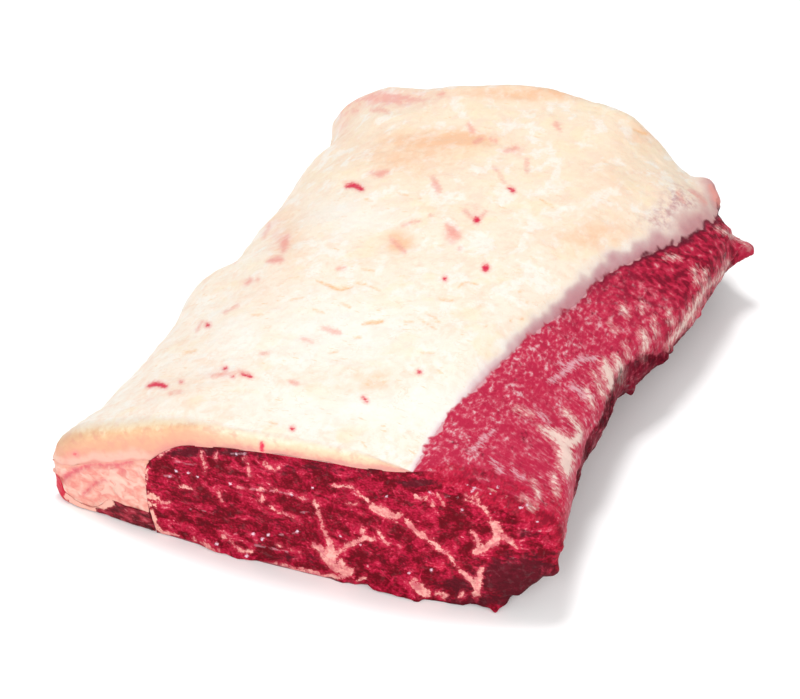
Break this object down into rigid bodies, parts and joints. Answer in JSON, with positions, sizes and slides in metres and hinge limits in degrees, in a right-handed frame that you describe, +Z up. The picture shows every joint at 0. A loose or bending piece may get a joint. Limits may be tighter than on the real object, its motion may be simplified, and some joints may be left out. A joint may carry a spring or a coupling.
{
  "type": "boneless beef striploin",
  "caption": "Cut length of boneless beef striploin, fat side up: thick marbled eye muscle under a cream fat cap, with a thin tail of fat and lean along one side.",
  "frame": {"origin": "middle of the footprint, on the surface the meat lies on", "axes": "+X across the loin, from the thin tail to the thick chine side; +Y along the grain, away from the cut face shown in front; +Z up, through the fat cap"},
  "size_m": [0.2723, 0.315, 0.0857],
  "materials": {
    "lean": "moist satin",
    "cap_fat": "satin, slightly waxy",
    "soft_fat": "moist satin",
    "tail_lean": "moist satin"
  },
  "bodies": {
    "root": {"loin_eye": "lean", "fat_cap": "cap_fat", "tail_fat": "soft_fat", "tail_lean": "tail_lean"}
  },
  "joints": []
}
